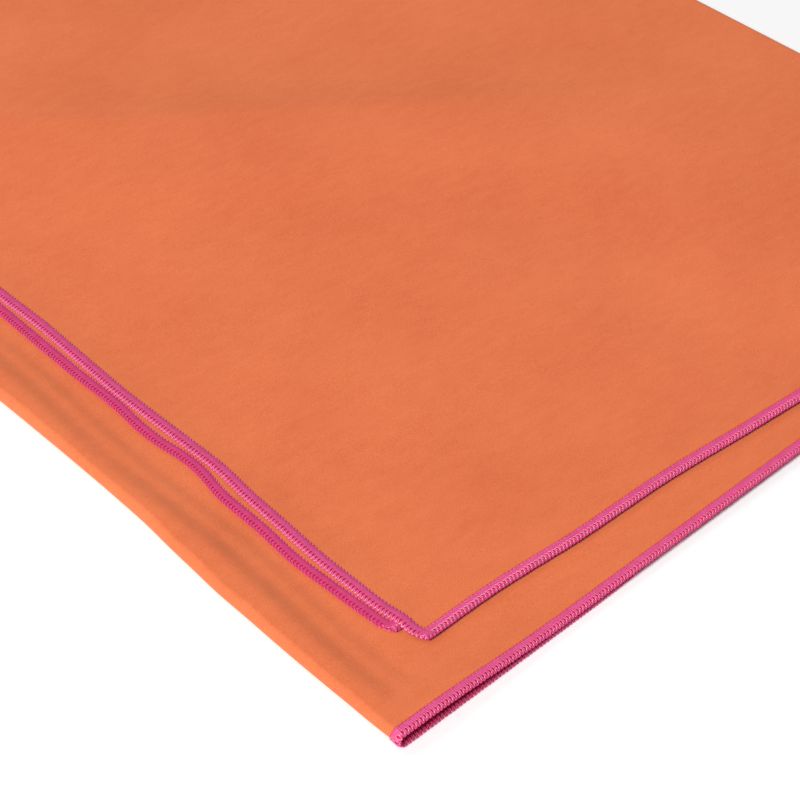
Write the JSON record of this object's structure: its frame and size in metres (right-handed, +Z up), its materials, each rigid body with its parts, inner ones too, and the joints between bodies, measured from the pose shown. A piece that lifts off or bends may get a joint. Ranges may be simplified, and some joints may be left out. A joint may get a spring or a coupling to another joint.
{
  "type": "quick dry towel",
  "caption": "Suede microfibre travel towel with an overlocked edge, folded into a flat stack; its upper layers open about the fold.",
  "frame": {"origin": "middle of the folded stack's box, on the surface that it lies on", "axes": "+X from the first fold to the second fold, +Y along the folds from the front edge to the back edge, +Z up"},
  "size_m": [0.366, 0.724, 0.0084],
  "materials": {
    "cloth": "matt suede microfibre with a fine short nap, coral orange",
    "edge_thread": "soft satin filament thread, bright pink"
  },
  "bodies": {
    "lower_half": {"cloth_bottom_layer": "cloth", "cloth_second_layer": "cloth", "cloth_first_fold": "cloth", "cloth_second_fold_inner": "cloth", "cloth_second_fold_outer": "cloth", "needle_thread_bottom_layer": "edge_thread", "needle_thread_second_layer": "edge_thread", "needle_thread_first_fold": "edge_thread", "needle_thread_second_fold_inner": "edge_thread", "needle_thread_second_fold_outer": "edge_thread", "upper_looper_bottom_layer": "edge_thread", "upper_looper_second_layer": "edge_thread", "upper_looper_first_fold": "edge_thread", "upper_looper_second_fold_inner": "edge_thread", "upper_looper_second_fold_outer": "edge_thread", "lower_looper_bottom_layer": "edge_thread", "lower_looper_second_layer": "edge_thread", "lower_looper_first_fold": "edge_thread", "lower_looper_second_fold_inner": "edge_thread", "lower_looper_second_fold_outer": "edge_thread"},
    "upper_half": {"cloth_third_layer": "cloth", "cloth_top_layer": "cloth", "needle_thread_third_layer": "edge_thread", "needle_thread_top_layer": "edge_thread", "needle_thread_third_layer_end": "edge_thread", "needle_thread_top_layer_end": "edge_thread", "upper_looper_third_layer": "edge_thread", "upper_looper_top_layer": "edge_thread", "upper_looper_third_layer_end": "edge_thread", "upper_looper_top_layer_end": "edge_thread", "lower_looper_third_layer": "edge_thread", "lower_looper_top_layer": "edge_thread", "lower_looper_third_layer_end": "edge_thread", "lower_looper_top_layer_end": "edge_thread"}
  },
  "joints": [
    {"name": "unfold", "type": "hinge", "parent": "lower_half", "child": "upper_half", "pos_m": [0.18303, 0, 0.0042], "axis": [0, 1, 0], "range_deg": [0, 180], "deforming": ["cloth_second_fold_inner", "cloth_second_fold_outer", "needle_thread_second_fold_inner", "needle_thread_second_fold_outer", "upper_looper_second_fold_inner", "upper_looper_second_fold_outer", "lower_looper_second_fold_inner", "lower_looper_second_fold_outer"]}
  ]
}
